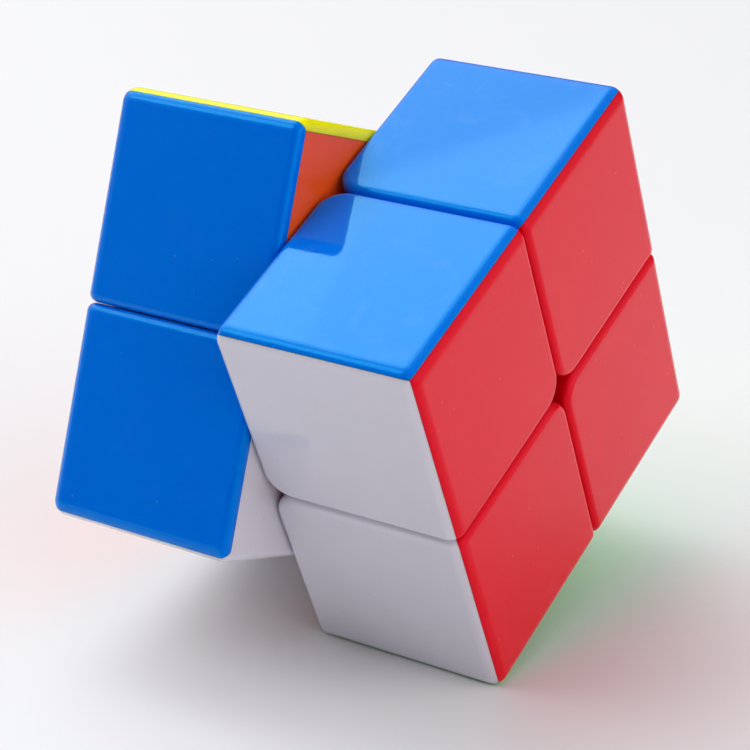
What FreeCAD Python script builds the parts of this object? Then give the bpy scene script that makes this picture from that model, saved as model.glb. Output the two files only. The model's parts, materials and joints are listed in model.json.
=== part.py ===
import FreeCAD, Part
import math
import os

# Twisty puzzle cube with two layers along each axis, stickerless, seen with one layer part-turned.
# Lengths are in mm.  X is the axis the two halves are twisted about.  The cube stands on one long
# edge of each half, so the floor is z = 0 and the middle of the core is straight above the origin.

# ---- overall size and pose --------------------------------------------------------------------
EDGE = 50.0                   # side of the cube when its layers are lined up
TWIST = 46.5                  # angle between the right half and the left half
HALF = EDGE / 2

# ---- the visible corner blocks ----------------------------------------------------------------
LAYER_GAP = 0.10              # air between neighbouring blocks
OUTER_ROUND = 1.8             # rounding of the cube's own twelve edges
LIP_ROUND = 1.0               # rounding of the facelets along the grooves
CENTRE_ROUND = 3.4            # rounding of the block edges that meet at the middle of a face
CAP_THICK = 1.4               # coloured plate snapped onto a block
PARTING = 0.03                # fine line between a plate and the block or plate beside it
WALL = 1.4                    # wall of the hollow block
CAVITY_ROUND = 2.0
WINDOW_FROM = 5.0             # square opening in the block under each plate
WINDOW_TO = 20.4
RIM_THICK = 1.0               # square rim under a plate that snaps into that opening
RIM_DEEP = 2.0
RIM_FIT = 0.05

# ---- the hidden mechanism: two nested round shells, each cut by two planes per axis ------------
BLOCK_R = 18.0                # inside this radius the blocks give way to the mechanism
WAIST_R = 12.8                # between the upper and the lower shell
CORE_R = 8.8                  # between the lower shell and the core
UPPER_CUT = 5.6               # half width of the middle slice in the upper shell
LOWER_CUT = 3.3               # half width of the middle slice in the lower shell
PLAY = 0.20                   # air between hidden moving pieces

# ---- core, screws and springs -----------------------------------------------------------------
HUB_R = 6.0
ARM_R = 2.6
SCREW_R = 1.0
SCREW_BORE = 1.04             # hole in the core arm
TURN_BORE = 1.06              # hole in the centre piece that turns on the screw
SCREW_DEEP = 3.6              # distance of the screw's tip from the middle of the core
HEAD_R = 2.0
HEAD_TALL = 1.2
SLOT_WIDE = 0.5
WELL_R = 2.4                  # well in the centre piece that takes head, washer and spring
WELL_FLOOR = 10.2
SPRING_R = 1.6
SPRING_WIRE = 0.22
SPRING_TURNS = 4
ARCS_PER_TURN = 4
WASHER_THICK = 0.4
WASHER_LOW = 13.65
SEAT = 0.05                   # air under the spring, the washer and the screw head
KEY_R = 1.3                   # peg that keys one corner piece to the core
KEY_FIT = 0.05
KEY_TIP = 4.2                 # distance of the peg's tip from the middle of the core

# ---- positions and colours --------------------------------------------------------------------
GAP = LAYER_GAP / 2
SLACK = PLAY / 2
FAR = HALF + 10.0
ORIGIN = FreeCAD.Vector(0, 0, 0)
UNITS = (FreeCAD.Vector(1, 0, 0), FreeCAD.Vector(0, 1, 0), FreeCAD.Vector(0, 0, 1))
FACE_COLOUR = {(0, 1): "red", (0, -1): "orange", (1, 1): "yellow", (1, -1): "white",
               (2, 1): "blue", (2, -1): "green"}
# Which of a corner's three colours its one-piece block is moulded in, by axis number.
BLOCK_AXIS = {(1, -1, 1): 0, (1, 1, 1): 0, (1, -1, -1): 0, (1, 1, -1): 0,
              (-1, 1, 1): 0, (-1, -1, 1): 1, (-1, 1, -1): 0, (-1, -1, -1): 1}
KEYED_CORNER = (-1, 1, -1)


def box(lows, highs):
    """An axis-aligned box between two corners."""
    size = [high - low for low, high in zip(lows, highs)]
    return Part.makeBox(*size, FreeCAD.Vector(*lows))


def ball(radius):
    return Part.makeSphere(radius)


def shell(low, high):
    """The space between two spheres about the middle of the core."""
    return ball(high).cut(ball(low))


def cylinder(radius, low, high, direction=UNITS[2]):
    """A cylinder about a line through the middle of the core, between two distances from it."""
    return Part.makeCylinder(radius, high - low, direction * low, direction)


def wedge(face_axis, side_axis, low, step):
    """Everything beyond `low` along one axis, cut off at 45 degrees towards an outer side face.
    `step` moves the sloping side inwards."""
    top = HALF + 1.0
    outline = [(low, -1.0), (low, low - step), (top, top - step), (top, -1.0)]
    points = []
    for along, across in outline:
        place = [-1.0, -1.0, -1.0]
        place[face_axis] = along
        place[side_axis] = across
        points.append(FreeCAD.Vector(*place))
    third = 3 - face_axis - side_axis
    face = Part.Face(Part.makePolygon(points + points[:1]))
    return face.extrude(UNITS[third] * (top + 1.0))


def frame_for(images):
    """The rotation that sends the X, Y and Z directions to three given (axis, sign) pairs."""
    columns = [UNITS[axis] * sign for axis, sign in images]
    m = FreeCAD.Matrix()
    m.A11, m.A21, m.A31 = columns[0]
    m.A12, m.A22, m.A32 = columns[1]
    m.A13, m.A23, m.A33 = columns[2]
    return m


def turned(shape, images):
    """A copy of a shape with its X, Y and Z directions sent to three (axis, sign) pairs."""
    copy = shape.copy()
    copy.Placement = FreeCAD.Placement(frame_for(images)).multiply(copy.Placement)
    return copy


def is_rotation(images):
    return frame_for(images).determinant() > 0


def toward(shape, main, signs, axis):
    """A copy of a corner shape moved to the corner `signs`, with its direction `main` sent to `axis`.
    The shape must look the same when its other two directions are exchanged."""
    others = [k for k in range(3) if k != axis]
    for first, second in (others, others[::-1]):
        images = [(first, signs[first]), (second, signs[second])]
        images.insert(main, (axis, signs[axis]))
        if is_rotation(images):
            return turned(shape, images)


# ---- one corner block, built in the corner where x, y and z are positive ------------------------
def on_planes(edge, level):
    """How many of the three planes at one level the middle of an edge lies on."""
    return sum(abs(c - level) < 1e-6 for c in edge.CenterOfMass)


def is_lip(edge):
    """True for the edges of the three facelets that run along the grooves."""
    bounds = edge.BoundBox
    spans = ((bounds.XMin, bounds.XMax), (bounds.YMin, bounds.YMax), (bounds.ZMin, bounds.ZMax))
    in_face = sum(abs(low - HALF) < 1e-4 and abs(high - HALF) < 1e-4 for low, high in spans)
    return in_face == 1 and min(edge.CenterOfMass) < CENTRE_ROUND and edge.Length > LIP_ROUND


def block_outline():
    """A block's outside: a box with all its edges rounded."""
    block = box([GAP] * 3, [HALF] * 3)
    block = block.makeFillet(CENTRE_ROUND, [e for e in block.Edges if on_planes(e, GAP) == 2])
    block = block.makeFillet(OUTER_ROUND, [e for e in block.Edges if on_planes(e, HALF) == 2])
    return block.makeFillet(LIP_ROUND, [e for e in block.Edges if is_lip(e)])


def shell_foot(upper_test, lower_test, neck_test):
    """A mechanism piece: its part of the upper shell and of the lower shell, and the neck between."""
    upper = upper_test.common(shell(WAIST_R + SLACK, BLOCK_R - SLACK))
    lower = lower_test.common(shell(CORE_R + SLACK, WAIST_R - SLACK))
    neck = neck_test.common(shell(WAIST_R - 2 * SLACK, WAIST_R + 2 * SLACK))
    return upper.fuse([lower, neck]).removeSplitter()


def corner_foot():
    """The foot of a corner piece, which hooks under its neighbours in the upper shell."""
    upper = box([UPPER_CUT + SLACK] * 3, [FAR] * 3)
    lower = box([LOWER_CUT + SLACK] * 3, [FAR] * 3)
    foot = shell_foot(upper, lower, upper)
    bridge = upper.common(shell(BLOCK_R - 2 * SLACK, BLOCK_R + SLACK + WALL / 2))
    return foot.fuse(bridge).removeSplitter()


def corner_block():
    """A hollow block with its own facelet on +X, open under the plates on +Y and +Z."""
    plate_low = HALF - CAP_THICK - PARTING
    block = block_outline().cut(ball(BLOCK_R + SLACK))
    block = block.cut(wedge(1, 0, plate_low, 0.0).fuse(wedge(2, 0, plate_low, 0.0)))
    inner = GAP + WALL
    cavity = box([inner] * 3, [HALF - WALL, plate_low - WALL, plate_low - WALL])
    cavity = cavity.makeFillet(CAVITY_ROUND, [e for e in cavity.Edges if on_planes(e, inner) == 2])
    block = block.cut(cavity.cut(ball(BLOCK_R + SLACK + WALL)))
    for axis in (1, 2):
        lows = [WINDOW_FROM] * 3
        highs = [WINDOW_TO] * 3
        lows[axis] = plate_low - 2 * WALL
        highs[axis] = HALF
        block = block.cut(box(lows, highs))
    return block.fuse(corner_foot()).removeSplitter()


def corner_plate():
    """The coloured plate on +Z, with the square rim below it that snaps into the block."""
    low = HALF - CAP_THICK
    step = PARTING * math.sqrt(2)
    sloped = wedge(2, 0, low, step).common(wedge(2, 1, low, step))
    plate = sloped.common(block_outline())
    start = WINDOW_FROM + RIM_FIT
    end = WINDOW_TO - RIM_FIT
    rim = box([start, start, low - RIM_DEEP], [end, end, low])
    start += RIM_THICK
    end -= RIM_THICK
    rim = rim.cut(box([start, start, low - 2 * RIM_DEEP], [end, end, low]))
    return plate.fuse(rim).removeSplitter()


# ---- the hidden pieces, built in the middle of the +Z side ---------------------------------------
def edge_foot():
    """A hidden edge piece between the +Y and +Z sides, straddling the plane x = 0."""
    upper = box([-UPPER_CUT + SLACK] + [UPPER_CUT + SLACK] * 2, [UPPER_CUT - SLACK] + [FAR] * 2)
    lower = box([-LOWER_CUT + SLACK] + [LOWER_CUT + SLACK] * 2, [LOWER_CUT - SLACK] + [FAR] * 2)
    neck = box([-LOWER_CUT + SLACK] + [UPPER_CUT + SLACK] * 2, [LOWER_CUT - SLACK] + [FAR] * 2)
    return shell_foot(upper, lower, neck)


def centre_piece():
    """The hidden centre piece on +Z, with a well for screw head and spring and a hole to turn on."""
    wide = UPPER_CUT - SLACK
    narrow = LOWER_CUT - SLACK
    upper = box([-wide, -wide, 0], [wide, wide, FAR])
    lower = box([-narrow, -narrow, 0], [narrow, narrow, FAR])
    piece = shell_foot(upper, lower, lower)
    piece = piece.cut(cylinder(TURN_BORE, 0, FAR))
    return piece.cut(cylinder(WELL_R, WELL_FLOOR, FAR))


def screw():
    """A screw on +Z, with a crossed recess in its head."""
    low = WASHER_LOW + WASHER_THICK + SEAT
    body = cylinder(SCREW_R, SCREW_DEEP, low).fuse(cylinder(HEAD_R, low, low + HEAD_TALL))
    half_slot = SLOT_WIDE / 2
    reach = HEAD_R * 0.6
    floor = low + HEAD_TALL / 2
    top = low + 2 * HEAD_TALL
    body = body.cut(box([-reach, -half_slot, floor], [reach, half_slot, top]))
    return body.cut(box([-half_slot, -reach, floor], [half_slot, reach, top])).removeSplitter()


def washer():
    """The washer between spring and screw head on +Z."""
    ring = cylinder(HEAD_R, WASHER_LOW, WASHER_LOW + WASHER_THICK)
    return ring.cut(cylinder(TURN_BORE, 0, FAR))


def coil_point(part, low, tall):
    """A point of a spring's centre line, at a part of the way from its foot to its top."""
    angle = 2 * math.pi * SPRING_TURNS * part
    return FreeCAD.Vector(SPRING_R * math.cos(angle), SPRING_R * math.sin(angle), low + tall * part)


def spring():
    """The open coil spring that presses the centre piece on +Z towards the core.  Its centre line is
    a helix of arcs."""
    low = WELL_FLOOR + SEAT + SPRING_WIRE
    tall = WASHER_LOW - SEAT - SPRING_WIRE - low
    steps = 2 * SPRING_TURNS * ARCS_PER_TURN
    points = [coil_point(k / steps, low, tall) for k in range(steps + 1)]
    path = [Part.Arc(*points[k:k + 3]).toShape() for k in range(0, steps, 2)]
    section = Part.Wire(Part.makeCircle(SPRING_WIRE, points[0], UNITS[1]))
    return Part.Wire(path).makePipeShell([section], True, True)


def core():
    """The hub with six arms, bored for the screws and drilled for the key of one corner piece."""
    limit = CORE_R - SLACK
    body = ball(HUB_R)
    for arm in UNITS:
        body = body.fuse(cylinder(ARM_R, -FAR, FAR, arm))
    body = body.common(ball(limit))
    for axis in range(3):
        for sign in (-1, 1):
            body = body.cut(cylinder(SCREW_BORE, SCREW_DEEP - 2 * SEAT, FAR, UNITS[axis] * sign))
    socket = cylinder(KEY_R + KEY_FIT, KEY_TIP - KEY_FIT, FAR, key_direction())
    return body.cut(socket).removeSplitter()


def key_direction():
    return FreeCAD.Vector(*KEYED_CORNER).normalize()


# ---- assembly ------------------------------------------------------------------------------------
def at_rest(shape, side):
    """Turn a shape of the lined-up cube into its half's pose and lift it onto the floor."""
    tilt = (90.0 - TWIST) / 2
    angle = tilt if side > 0 else tilt + TWIST
    middle_to_edge = math.sqrt(2) * (HALF - OUTER_ROUND)
    height = middle_to_edge * math.cos(math.radians(45.0 - tilt)) + OUTER_ROUND
    copy = shape.copy()
    copy.rotate(ORIGIN, UNITS[0], angle)
    copy.translate(UNITS[2] * height)
    return copy


def save(name, shapes):
    """Write one piece, or several identical fasteners, to its own file."""
    shape = shapes[0] if len(shapes) == 1 else Part.makeCompound(shapes)
    shape.exportStep(os.path.join("parts", name + ".step"))


def face_on(images):
    """The hidden piece's position in words, from the outward directions it sits between."""
    return "_".join(FACE_COLOUR[image] for image in images)


def corners():
    """The eight visible corner pieces: a block and two plates each."""
    block = corner_block()
    plate = corner_plate()
    for signs, block_axis in BLOCK_AXIS.items():
        name = "corner_" + face_on([(k, signs[k]) for k in range(3)])
        piece = toward(block, 0, signs, block_axis)
        if signs == KEYED_CORNER:
            peg = cylinder(KEY_R, KEY_TIP, CORE_R + 4 * SLACK, key_direction())
            piece = piece.fuse(peg)
        save(name + "_block", [at_rest(piece, signs[0])])
        for axis in range(3):
            if axis != block_axis:
                cap = toward(plate, 2, signs, axis)
                save(name + "_plate_" + FACE_COLOUR[axis, signs[axis]], [at_rest(cap, signs[0])])


def hidden_edges():
    """The twelve hidden edge pieces.  The four in the middle slice stay with the left half."""
    piece = edge_foot()
    for along in range(3):
        first, second = [k for k in range(3) if k != along]
        for signs in ((1, 1), (1, -1), (-1, 1), (-1, -1)):
            sides = [(first, signs[0]), (second, signs[1])]
            images = [(along, 1)] + sides
            if not is_rotation(images):
                images[0] = (along, -1)
            with_right = (0, 1) in sides
            save("edge_" + face_on(sides), [at_rest(turned(piece, images), 1 if with_right else -1)])


def centres():
    """The six hidden centre pieces with their springs, and the washers and screws together."""
    screws = []
    washers = []
    for axis in range(3):
        for sign in (1, -1):
            images = [((axis + 1) % 3, 1), ((axis + 2) % 3, sign), (axis, sign)]
            side = 1 if (axis, sign) == (0, 1) else -1
            name = face_on([(axis, sign)])
            save("centre_" + name, [at_rest(turned(centre_piece(), images), side)])
            save("spring_" + name, [at_rest(turned(spring(), images), -1)])
            screws.append(at_rest(turned(screw(), images), -1))
            washers.append(at_rest(turned(washer(), images), -1))
    save("screws", screws)
    save("washers", washers)


os.makedirs("parts", exist_ok=True)
corners()
hidden_edges()
centres()
save("core", [at_rest(core(), -1)])
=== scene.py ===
import json
import math

import bpy
from mathutils import Matrix, Vector

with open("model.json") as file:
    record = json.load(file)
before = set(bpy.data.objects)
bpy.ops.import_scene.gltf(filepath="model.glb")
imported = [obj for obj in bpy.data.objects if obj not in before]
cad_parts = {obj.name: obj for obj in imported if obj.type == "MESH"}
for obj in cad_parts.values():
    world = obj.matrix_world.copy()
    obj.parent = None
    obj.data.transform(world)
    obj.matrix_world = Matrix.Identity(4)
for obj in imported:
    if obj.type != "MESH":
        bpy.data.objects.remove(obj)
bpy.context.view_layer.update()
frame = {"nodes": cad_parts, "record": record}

# The cube's own frame: X is the twist axis, and each half is turned about it from the lined-up cube.
HALF = 25.0                      # half of the cube's side, in mm
AXIS_HEIGHT = 31.9453            # height of the twist axis above the floor, in mm
HALF_TURN = {"right_half": 21.75, "left_half": 68.25}
OUTER_ROUND = 1.8                # rounding of the cube's own edges, in mm
LIP_ROUND = 1.0                  # rounding along the grooves, in mm

# Each plastic's base colour, the tint of its gloss, and how far light of each colour travels in it
# compared with SCATTER. The colours are linear.
PLASTIC = {
    "red": ((0.715, 0.001, 0.010), (1.00, 0.14, 0.33), (1.00, 0.20, 0.20)),
    "blue": ((0.000, 0.169, 0.755), (0.00, 0.95, 1.00), (0.10, 0.40, 1.00)),
    "white": ((0.665, 0.653, 0.732), (1.00, 1.00, 1.00), (1.00, 1.00, 1.00)),
    "yellow": ((0.92, 0.88, 0.004), (1.00, 1.00, 0.20), (1.00, 0.80, 0.15)),
    "orange": ((1.00, 0.112, 0.014), (1.00, 0.50, 0.35), (1.00, 0.40, 0.15)),
    "green": ((0.000, 0.68, 0.020), (0.30, 1.00, 0.40), (0.10, 1.00, 0.20)),
}
DUST = (0.30, 0.30, 0.31, 1.0)
# The pale blue-white that the faint smudge film and the painted sheen of the overhead light lean
# towards.
FILM_AND_SHEEN = (0.60, 0.72, 0.80, 1.0)
SCATTER = 0.0007                 # mean distance that light travels inside the plastic, in metres
MM_PER_METRE = 1000

# How closely the plastic's patterns repeat, in features per mm, from the broadest to the finest.
FLOW_SCALE = 0.09
SMEAR_SCALE = 0.16
MOTTLE_SCALE = 0.55
SPECK_SCALE = 0.6
GRAIN_SCALE = 5.0

FLOOR_REACH = 6.0                # from the cube to the floor's edge, in metres

# The camera: its place, and the directions to the right and up in its picture.
CAMERA_PLACE = (0.141897, -0.218575, 0.146287)
CAMERA_RIGHT = (0.843021, 0.537458, -0.021335)
CAMERA_UP = (-0.205416, 0.358353, 0.910707)
LENS = 115.56                    # focal length for a sensor 36 mm wide, in mm
SENSOR_WIDTH = 36.0


# ---- node helpers --------------------------------------------------------------------------------
class Nodes:
    """A small builder for one node tree."""

    def __init__(self, tree):
        self.tree = tree
        tree.nodes.clear()

    def add(self, kind, **settings):
        node = self.tree.nodes.new(kind)
        for key, value in settings.items():
            setattr(node, key, value)
        return node

    def feed(self, socket, value):
        if isinstance(value, bpy.types.NodeSocket):
            self.tree.links.new(value, socket)
        else:
            socket.default_value = value

    def math(self, operation, a, b=None, c=None):
        node = self.add("ShaderNodeMath", operation=operation)
        for socket, value in zip(node.inputs, (a, b, c)):
            if value is not None:
                self.feed(socket, value)
        return node.outputs[0]

    def vmath(self, operation, a, b=None):
        node = self.add("ShaderNodeVectorMath", operation=operation)
        self.feed(node.inputs[0], a)
        if b is not None:
            self.feed(node.inputs[1], b)
        return node

    def ramp(self, value, low, high, to_low=0.0, to_high=1.0):
        """A smooth step from one value to another."""
        node = self.add("ShaderNodeMapRange", interpolation_type="SMOOTHSTEP")
        for socket, v in zip(node.inputs, (value, low, high, to_low, to_high)):
            self.feed(socket, v)
        return node.outputs[0]

    def noise(self, where, scale, detail, rough=0.5, distortion=0.0):
        node = self.add("ShaderNodeTexNoise", noise_dimensions="3D")
        self.feed(node.inputs["Vector"], where)
        self.feed(node.inputs["Scale"], scale)
        self.feed(node.inputs["Detail"], detail)
        self.feed(node.inputs["Roughness"], rough)
        self.feed(node.inputs["Distortion"], distortion)
        return node.outputs["Fac"]

    def specks(self, where, scale, rare, size):
        """Scattered round specks: 1 inside a speck and 0 elsewhere. A higher rare leaves fewer."""
        cell = self.add("ShaderNodeTexVoronoi", feature="F1")
        self.feed(cell.inputs["Vector"], where)
        self.feed(cell.inputs["Scale"], scale)
        pick = self.add("ShaderNodeSeparateXYZ")
        self.feed(pick.inputs[0], cell.outputs["Color"])
        radius = self.ramp(pick.outputs[0], rare, 1.0, 0.0, size)
        return self.math("LESS_THAN", cell.outputs["Distance"], radius)

    def mix(self, factor, a, b):
        node = self.add("ShaderNodeMix", data_type="RGBA", blend_type="MIX")
        self.feed(node.inputs[0], factor)
        self.feed(node.inputs[6], a)
        self.feed(node.inputs[7], b)
        return node.outputs[2]

    def bump(self, height, distance, strength, normal=None):
        """A fine relief. It goes on top of another one where that one's normal is given."""
        node = self.add("ShaderNodeBump")
        self.feed(node.inputs["Strength"], strength)
        self.feed(node.inputs["Distance"], distance)
        self.feed(node.inputs["Height"], height)
        if normal is not None:
            self.feed(node.inputs["Normal"], normal)
        return node.outputs["Normal"]


def rgba(colour, gain):
    """A colour made lighter or darker, with its alpha."""
    return tuple(min(1.0, c * gain) for c in colour) + (1.0,)


def new_material(name):
    """An empty node material, and the builder of its tree."""
    material = bpy.data.materials.new(name)
    material.use_nodes = True
    return material, Nodes(material.node_tree)


def cube_position(n, body):
    """Where a surface point lies on the lined-up cube, in mm from the middle of the core."""
    turn = math.radians(-HALF_TURN[body])
    place = n.add("ShaderNodeMapping", vector_type="POINT")
    shift = Matrix.Rotation(turn, 3, "X") @ Vector((0, 0, -AXIS_HEIGHT))
    n.feed(place.inputs["Vector"], n.add("ShaderNodeTexCoord").outputs["Object"])
    place.inputs["Location"].default_value = shift
    place.inputs["Rotation"].default_value = (turn, 0, 0)
    place.inputs["Scale"].default_value = (MM_PER_METRE,) * 3
    return place.outputs["Vector"]


def plastic(colour_name, body):
    """Moulded plastic in one colour: fine grain, faint flow marks, edges dulled by fingers, faint
    handling marks on the flat faces, a painted sheen of the overhead light on the faces that look up,
    and a few specks of dust."""
    material, n = new_material(f"{colour_name}_plastic_{body}")
    colour, gloss_tint, reach = PLASTIC[colour_name]
    at = cube_position(n, body)
    away = n.vmath("ABSOLUTE", at).outputs["Vector"]
    split = n.add("ShaderNodeSeparateXYZ")
    n.feed(split.inputs[0], away)
    x, y, z = split.outputs
    largest = n.math("MAXIMUM", n.math("MAXIMUM", x, y), z)
    smallest = n.math("MINIMUM", n.math("MINIMUM", x, y), z)
    total = n.math("ADD", n.math("ADD", x, y), z)
    middle = n.math("SUBTRACT", n.math("SUBTRACT", total, largest), smallest)
    outer_edge = n.ramp(middle, HALF - OUTER_ROUND, HALF - 0.4)
    beside_groove = n.ramp(smallest, LIP_ROUND, 0.3)
    near_surface = n.ramp(largest, HALF - 2.0, HALF - 1.0)
    lip = n.math("MULTIPLY", beside_groove, near_surface)
    edge = n.math("MAXIMUM", outer_edge, lip)

    flow = n.noise(at, FLOW_SCALE, detail=3.0, rough=0.55, distortion=0.4)
    mottle = n.noise(at, MOTTLE_SCALE, detail=4.0, rough=0.6)
    grain = n.noise(at, GRAIN_SCALE, detail=3.0, rough=0.65)
    smear = n.ramp(n.noise(at, SMEAR_SCALE, detail=5.0, rough=0.62, distortion=1.2), 0.52, 0.70)
    touch = n.math("MULTIPLY", smear, n.math("SUBTRACT", 1.0, edge))

    shade = n.math("MULTIPLY_ADD", flow, 0.35, n.math("MULTIPLY", grain, 0.65))
    base = n.mix(n.ramp(shade, 0.35, 0.65), rgba(colour, 0.975), rgba(colour, 1.02))
    # Smears leave a faint pale film everywhere. On the faces that look up at rest, a painted sheen of
    # the overhead light is added, strongest in the smears and speckled by the grain. It stays on them
    # when they turn.
    upward = n.add("ShaderNodeSeparateXYZ")
    n.feed(upward.inputs[0], n.add("ShaderNodeTexCoord").outputs["Normal"])
    up_facing_sheen = n.ramp(upward.outputs[2], 0.6, 0.9)
    smudge_film_and_sheen = n.math("MULTIPLY", touch, n.math("MULTIPLY_ADD", up_facing_sheen, 0.020, 0.004))
    # Painted sheen, speckled by the grain, on the faces that look up.
    grain_sheen = n.math("MULTIPLY", up_facing_sheen, n.ramp(grain, 0.50, 0.68))
    smudge_film_and_sheen = n.math("MULTIPLY_ADD", grain_sheen, 0.012, smudge_film_and_sheen)
    base = n.mix(smudge_film_and_sheen, base, FILM_AND_SHEEN)
    speck = n.specks(at, SPECK_SCALE, rare=0.88, size=0.09)
    base = n.mix(n.math("MULTIPLY", speck, 0.20), base, DUST)

    rough = n.math("MULTIPLY_ADD", mottle, 0.012, 0.026)
    rough = n.math("ADD", rough, n.math("MULTIPLY", touch, 0.02))
    rough = n.math("ADD", rough, n.math("MULTIPLY", edge, 0.07))

    normal = n.bump(flow, 0.00002, 0.05)
    normal = n.bump(grain, 0.000006, 0.12, normal)

    shader = n.add("ShaderNodeBsdfPrincipled")
    n.feed(shader.inputs["Base Color"], base)
    n.feed(shader.inputs["Roughness"], rough)
    n.feed(shader.inputs["Normal"], normal)
    shader.inputs["IOR"].default_value = 1.50
    shader.inputs["Specular Tint"].default_value = gloss_tint + (1.0,)
    shader.inputs["Subsurface Weight"].default_value = 0.7
    shader.inputs["Subsurface Radius"].default_value = reach
    shader.inputs["Subsurface Scale"].default_value = SCATTER
    output = n.add("ShaderNodeOutputMaterial")
    n.feed(output.inputs["Surface"], shader.outputs["BSDF"])
    return material


def nylon(name, colour):
    """The dull self-coloured plastic of the hidden pieces."""
    material, n = new_material(name)
    at = n.add("ShaderNodeTexCoord").outputs["Object"]
    cloud = n.noise(at, 260.0, detail=4.0)
    grain = n.noise(at, 5200.0, detail=2.0)
    shader = n.add("ShaderNodeBsdfPrincipled")
    n.feed(shader.inputs["Base Color"], n.mix(cloud, rgba(colour, 0.9), rgba(colour, 1.08)))
    n.feed(shader.inputs["Roughness"], n.math("MULTIPLY_ADD", cloud, 0.15, 0.38))
    n.feed(shader.inputs["Normal"], n.bump(grain, 0.000012, 0.5))
    output = n.add("ShaderNodeOutputMaterial")
    n.feed(output.inputs["Surface"], shader.outputs["BSDF"])
    return material


def steel(name, stretch):
    """Bright zinc-plated steel with fine drawn or turned marks."""
    material, n = new_material(name)
    at = n.add("ShaderNodeTexCoord").outputs["Object"]
    marks = n.noise(n.vmath("MULTIPLY", at, stretch).outputs["Vector"], 1.0, detail=4.0)
    shader = n.add("ShaderNodeBsdfPrincipled")
    shader.inputs["Metallic"].default_value = 1.0
    n.feed(shader.inputs["Base Color"], n.mix(marks, (0.50, 0.50, 0.52, 1), (0.70, 0.70, 0.71, 1)))
    n.feed(shader.inputs["Roughness"], n.math("MULTIPLY_ADD", marks, 0.18, 0.22))
    n.feed(shader.inputs["Normal"], n.bump(marks, 0.00001, 0.4))
    output = n.add("ShaderNodeOutputMaterial")
    n.feed(output.inputs["Surface"], shader.outputs["BSDF"])
    return material


# ---- the cube's own pieces -----------------------------------------------------------------------
def dress(node, material):
    """Gives a piece one material all over."""
    node.data.materials.clear()
    node.data.materials.append(material)


def dress_cube():
    """Each piece gets its record slot's material. A plastic is made once for each colour and half."""
    bodies = frame["record"]["behaviour"]["bodies"]
    slots = {part["node"]: part["material_slot"] for part in frame["record"]["subparts"]}
    inner = nylon("inner_plastic", (0.42, 0.42, 0.43))
    hub = nylon("core_plastic", (0.62, 0.62, 0.62))
    wire = steel("spring_steel", (900, 900, 6000))
    plated = steel("screw_steel", (2600, 2600, 700))
    hidden = {
        "inner_plastic": inner,
        "core_plastic": hub,
        "spring_steel": wire,
        "screw_steel": plated,
    }
    made = {}
    for body, members in bodies.items():
        for name in members:
            slot = slots[name]
            if slot in hidden:
                dress(frame["nodes"][name], hidden[slot])
                continue
            key = (slot.split("_")[0], body)
            if key not in made:
                made[key] = plastic(*key)
            dress(frame["nodes"][name], made[key])


# ---- floor, light and camera ---------------------------------------------------------------------
def floor():
    """A sheet of pale paper that runs out of the picture on all sides."""
    far = FLOOR_REACH
    mesh = bpy.data.meshes.new("floor")
    corners = [(-far, -far, 0), (far, -far, 0), (far, far, 0), (-far, far, 0)]
    mesh.from_pydata(corners, [], [(0, 1, 2, 3)])
    ground = bpy.data.objects.new("floor", mesh)
    bpy.context.scene.collection.objects.link(ground)
    material, n = new_material("floor_paper")
    at = n.add("ShaderNodeTexCoord").outputs["Object"]
    cloud = n.noise(at, 4.0, detail=3.0)
    fibre = n.noise(at, 900.0, detail=3.0)
    shader = n.add("ShaderNodeBsdfPrincipled")
    paper = n.mix(cloud, (0.779, 0.779, 0.781, 1), (0.793, 0.793, 0.795, 1))
    n.feed(shader.inputs["Base Color"], paper)
    shader.inputs["Roughness"].default_value = 0.7
    shader.inputs["Specular IOR Level"].default_value = 0.2
    n.feed(shader.inputs["Normal"], n.bump(fibre, 0.00004, 0.2))
    output = n.add("ShaderNodeOutputMaterial")
    n.feed(output.inputs["Surface"], shader.outputs["BSDF"])
    mesh.materials.append(material)


# Broad soft lights around the room: where each comes from, how tightly it is gathered, its radiance.
GLOWS = {
    "ceiling": ((0.0, 0.0, 1.0), 3.0, (0.56, 0.63, 0.74)),
    "back_left_bank": ((-0.52, 0.36, 0.78), 8.0, (2.35, 2.40, 2.43)),
    "left_bank": ((-0.75, -0.25, 0.6), 8.0, (0.87, 0.85, 0.83)),
    "left_wall": ((-1.0, 0.0, 0.36), 4.0, (0.42, 0.39, 0.36)),
    "right_wall": ((1.0, 0.0, 0.18), 4.0, (2.50, 2.20, 2.10)),
}


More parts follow.
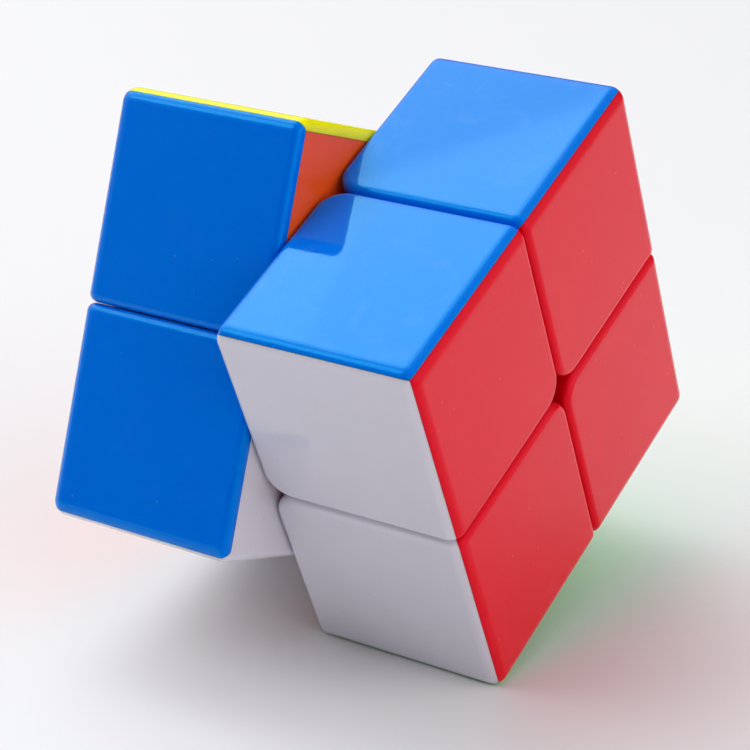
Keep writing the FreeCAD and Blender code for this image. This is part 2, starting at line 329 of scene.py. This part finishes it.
def sky():
    """The room: soft lights that fade smoothly into one another."""
    world = bpy.data.worlds.new("studio")
    bpy.context.scene.world = world
    world.use_nodes = True
    n = Nodes(world.node_tree)
    direction = n.add("ShaderNodeTexCoord").outputs["Generated"]
    light = (0.0, 0.0, 0.0)
    for source, gathered, radiance in GLOWS.values():
        facing = n.vmath("DOT_PRODUCT", direction, Vector(source).normalized()).outputs["Value"]
        fade = n.math("POWER", n.math("MAXIMUM", facing, 0.0), gathered)
        share = n.vmath("SCALE", radiance)
        n.feed(share.inputs["Scale"], fade)
        light = n.vmath("ADD", share.outputs["Vector"], light).outputs["Vector"]
    back = n.add("ShaderNodeBackground")
    n.feed(back.inputs["Color"], light)
    back.inputs["Strength"].default_value = 1.0
    output = n.add("ShaderNodeOutputWorld")
    n.feed(output.inputs["Surface"], back.outputs["Background"])


# Rectangular panels: where each hangs, its size, its radiance, and its turn about the vertical.
SOFTBOXES = {
    "overhead": ((-0.382, 0.223, 0.9), (0.6, 0.4), 1.20, math.radians(31.6)),
    "side_panel": ((-0.40, 0.0, 0.45), (0.3, 0.3), 0.55, 0.0),
    "front_panel": ((-0.35, -0.35, 0.55), (0.3, 0.3), 3.00, 0.0),
}


def softbox(name, place, size, radiance, turn):
    """A rectangular light facing the floor. A reflection of it shows the given radiance."""
    data = bpy.data.lights.new(name, "AREA")
    data.shape = "RECTANGLE"
    data.size, data.size_y = size
    data.energy = radiance * math.pi * size[0] * size[1]
    lamp = bpy.data.objects.new(name, data)
    bpy.context.scene.collection.objects.link(lamp)
    lamp.location = place
    lamp.rotation_euler = (0.0, 0.0, turn)


def camera():
    data = bpy.data.cameras.new("camera")
    data.sensor_width = SENSOR_WIDTH
    data.lens = LENS
    data.clip_start, data.clip_end = 0.01, 50.0
    view = bpy.data.objects.new("camera", data)
    bpy.context.scene.collection.objects.link(view)
    right = Vector(CAMERA_RIGHT)
    up = Vector(CAMERA_UP)
    turn = Matrix((right, up, right.cross(up))).transposed()
    view.matrix_world = Matrix.Translation(CAMERA_PLACE) @ turn.to_4x4()
    bpy.context.scene.camera = view


dress_cube()
floor()
sky()
for name, settings in SOFTBOXES.items():
    softbox(name, *settings)
camera()
bpy.context.scene.view_settings.view_transform = "Standard"
